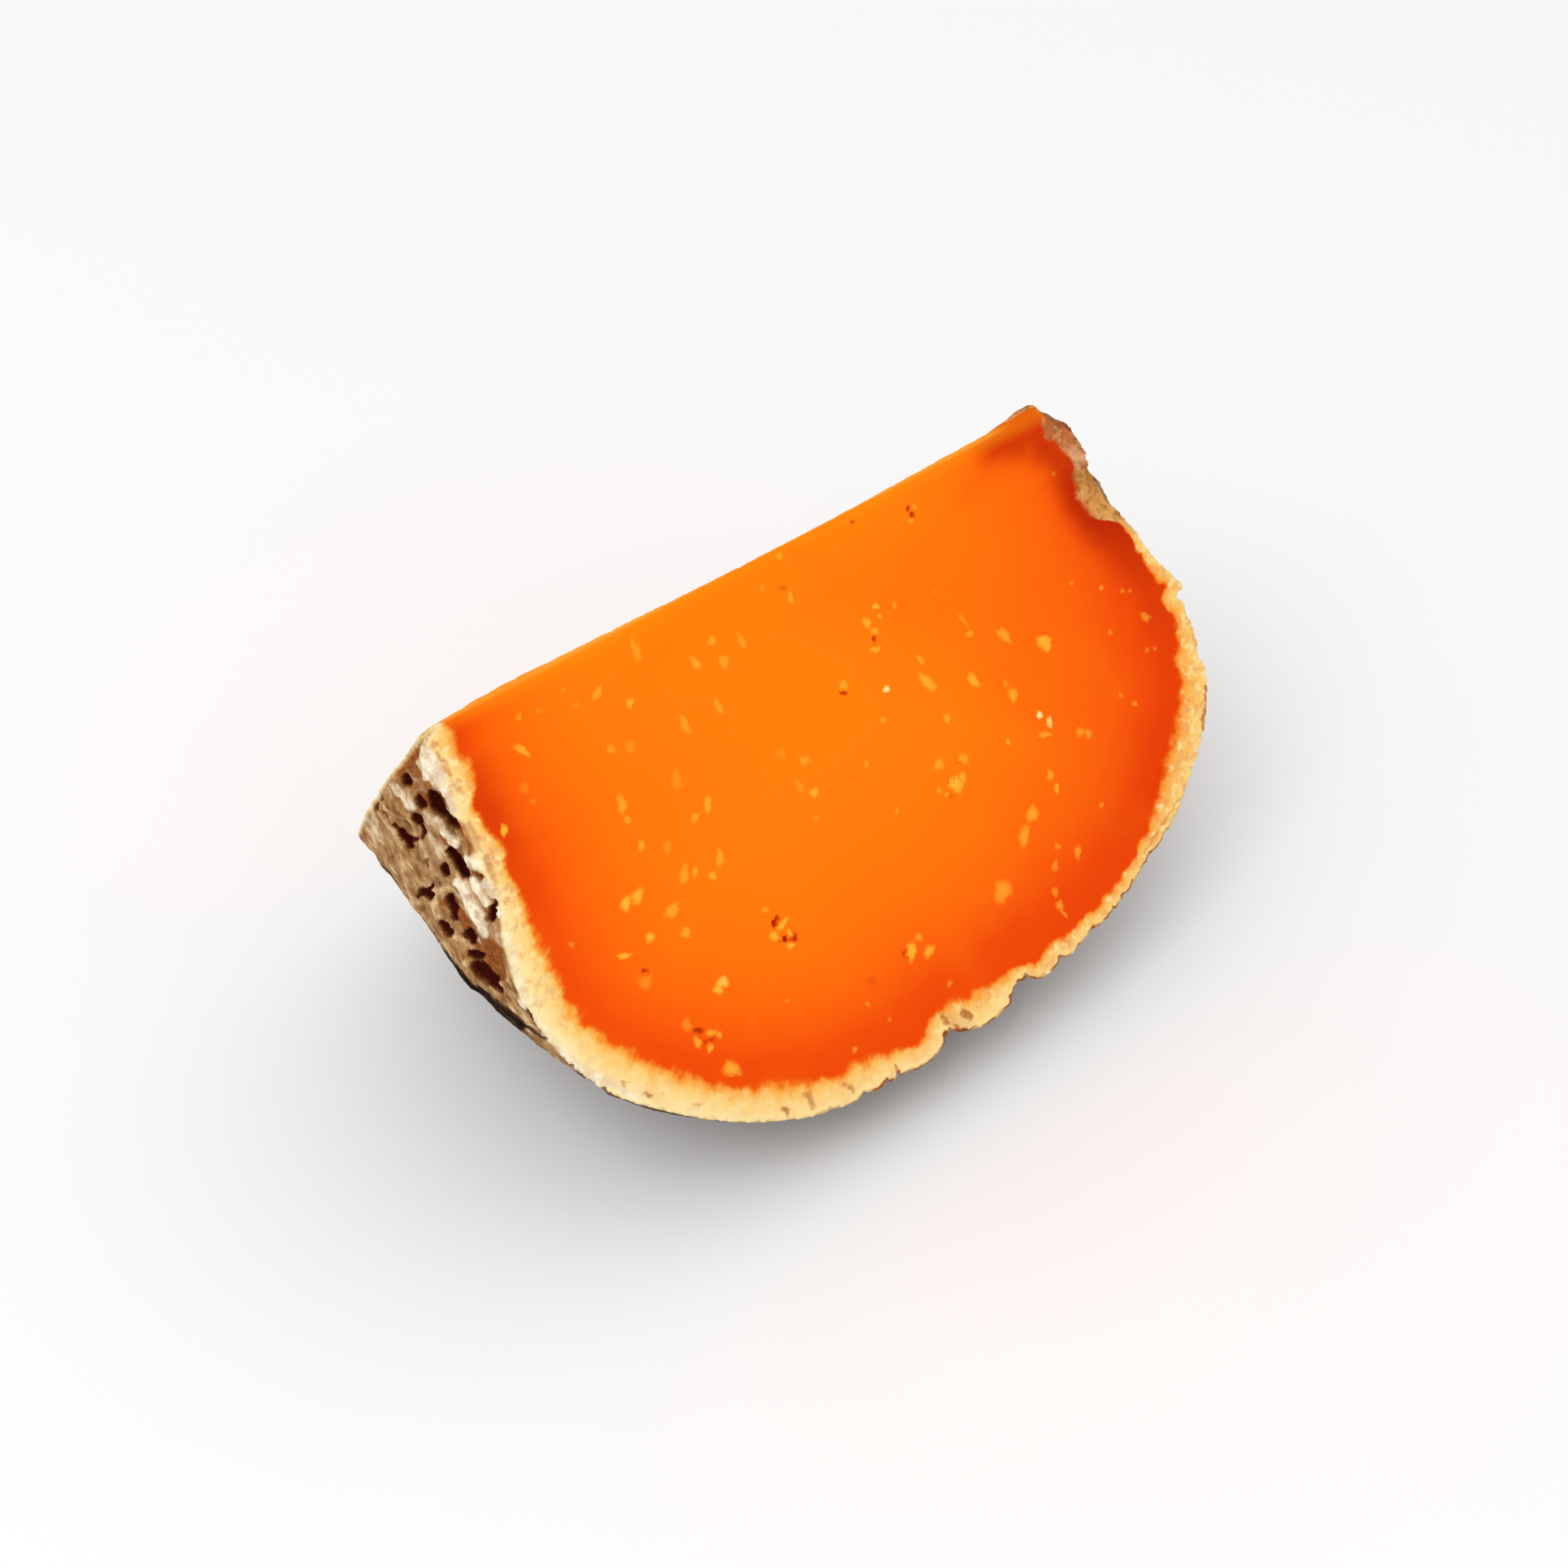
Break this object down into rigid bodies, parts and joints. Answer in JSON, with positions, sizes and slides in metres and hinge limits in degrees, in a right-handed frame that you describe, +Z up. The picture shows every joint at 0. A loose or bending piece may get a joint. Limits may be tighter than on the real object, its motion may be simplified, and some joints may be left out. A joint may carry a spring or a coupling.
{
  "type": "mimolette cheese wedge",
  "caption": "Wedge cut from a ball of aged mimolette cheese, with two flat orange cut faces that meet in a straight edge and a thick pitted rind, resting rind down.",
  "frame": {"origin": "middle of the base of the wedge's bounding box, on the surface it rests on", "axes": "+X along the ball's axis and the straight edge, towards the rounder end; +Z up; the cut face that shows best faces -Y"},
  "size_m": [0.1448, 0.0956, 0.0891],
  "materials": {
    "cheese": "smooth knife-cut paste with a slight sheen, under a dry matt crust"
  },
  "bodies": {
    "root": {"mimolette_wedge": "cheese"}
  },
  "joints": []
}
